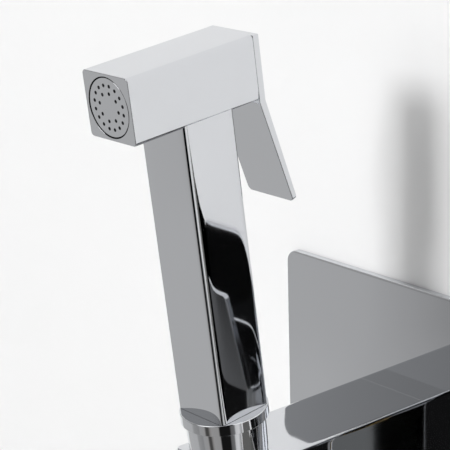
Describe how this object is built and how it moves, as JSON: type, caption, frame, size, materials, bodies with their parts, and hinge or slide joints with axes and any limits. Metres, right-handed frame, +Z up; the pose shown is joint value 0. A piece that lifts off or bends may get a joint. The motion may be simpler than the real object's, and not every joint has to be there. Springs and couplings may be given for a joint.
{
  "type": "bidet shower mixer",
  "caption": "Chromed square hand shower with thumb lever, leaning in an open-fronted holder bar on a rounded wall plate, beside a square lever mixer with its body behind the wall.",
  "frame": {"origin": "centre of the wall plate's back face, on the surface of the wall", "axes": "+X along the wall to the mixer's side, +Y into the wall, +Z up"},
  "size_m": [0.198, 0.1743, 0.1923],
  "materials": {
    "chrome": "polished",
    "brass": "machined",
    "steel": "plain",
    "black_rubber": "smooth",
    "grey_foam": "foamed",
    "white_plastic": "moulded",
    "black_plastic": "moulded",
    "ceramic": "lapped"
  },
  "bodies": {
    "wall_set": {"holder_bar": "chrome", "bar_sleeve": "chrome", "wall_plate": "chrome", "trim_block": "chrome", "supply_nipple": "brass", "outlet_nipple": "brass", "outlet_tube": "brass", "union_nuts": "brass", "bar_elbow": "brass", "mixer_body": "brass", "cartridge_nut": "brass", "grub_screws": "steel", "mounting_bracket": "steel", "bracket_screws": "steel", "inlet_strainers": "steel", "hot_check_spring": "steel", "cold_check_spring": "steel", "bar_seals": "black_rubber", "union_washers": "black_rubber", "trim_seal": "black_rubber", "port_seals": "black_rubber", "plate_gasket": "grey_foam", "cartridge_base": "white_plastic", "cartridge_housing": "white_plastic", "check_housings": "white_plastic", "holder_liner": "black_plastic", "fixed_disc": "ceramic"},
    "hand_shower": {"head_body": "chrome", "spray_face": "chrome", "spray_seal": "black_rubber", "flow_diffuser": "white_plastic", "valve_seat": "brass", "valve_spring": "steel", "valve_gland": "brass", "gland_seals": "black_rubber", "lever_bracket": "brass", "lever_bracket_screws": "steel", "lever_pin": "steel", "neck_nipple": "brass", "neck_seal": "black_rubber", "handle_body": "chrome", "handle_collar": "chrome", "inlet_spigot": "brass", "strainer_washer": "black_rubber", "hose_nut": "chrome"},
    "thumb_lever_body": {"thumb_lever": "chrome"},
    "valve_stem_body": {"valve_stem": "brass", "poppet_seal": "black_rubber"},
    "bush_body": {"turning_bush": "brass", "spindle_pin": "steel"},
    "control_lever_body": {"spindle": "brass", "lever_dome": "chrome", "lever_hub": "chrome", "hub_screw": "steel", "index_cap": "black_plastic", "control_lever": "chrome"},
    "mixing_disc_body": {"moving_disc": "ceramic", "disc_carrier": "white_plastic"},
    "hot_check_body": {"hot_check_poppet": "white_plastic"},
    "cold_check_body": {"cold_check_poppet": "white_plastic"}
  },
  "joints": [
    {"name": "hand_shower_lift", "type": "slide", "parent": "wall_set", "child": "hand_shower", "axis": [0, -0.116, 0.9933], "range_m": [0, 0.12]},
    {"name": "thumb_lever_press", "type": "hinge", "parent": "hand_shower", "child": "thumb_lever_body", "pos_m": [-0.036, -0.08196, 0.12887], "axis": [-1, 0, 0], "range_deg": [0, 8], "stiffness_Nm_per_rad": 2, "springref_deg": -5.73},
    {"name": "valve_stem_slide", "type": "slide", "parent": "hand_shower", "child": "valve_stem_body", "axis": [0, 0.9933, 0.116], "range_m": [0, 0.001], "deforming": ["valve_spring"]},
    {"name": "mixer_turn", "type": "hinge", "parent": "wall_set", "child": "bush_body", "pos_m": [0.036, 0, 0], "axis": [0, 1, 0], "range_deg": [-40, 40]},
    {"name": "mixer_tilt", "type": "hinge", "parent": "bush_body", "child": "control_lever_body", "pos_m": [0.036, -0.022, 0], "axis": [1, 0, 0], "range_deg": [0, 17]},
    {"name": "mixing_disc_slide", "type": "slide", "parent": "bush_body", "child": "mixing_disc_body", "axis": [0, 0, 1], "range_m": [0, 0.0047]},
    {"name": "hot_check_lift", "type": "slide", "parent": "wall_set", "child": "hot_check_body", "axis": [0, 0, 1], "range_m": [0, 0.003], "stiffness_N_per_m": 60, "springref_m": -0.003, "deforming": ["hot_check_spring"]},
    {"name": "cold_check_lift", "type": "slide", "parent": "wall_set", "child": "cold_check_body", "axis": [0, 0, 1], "range_m": [0, 0.003], "stiffness_N_per_m": 60, "springref_m": -0.003, "deforming": ["cold_check_spring"]}
  ],
  "couplings": [
    {"joint": "valve_stem_slide", "follows": "thumb_lever_press", "m_per_rad": 0.0064},
    {"joint": "mixing_disc_slide", "follows": "mixer_tilt", "m_per_rad": 0.0155}
  ]
}
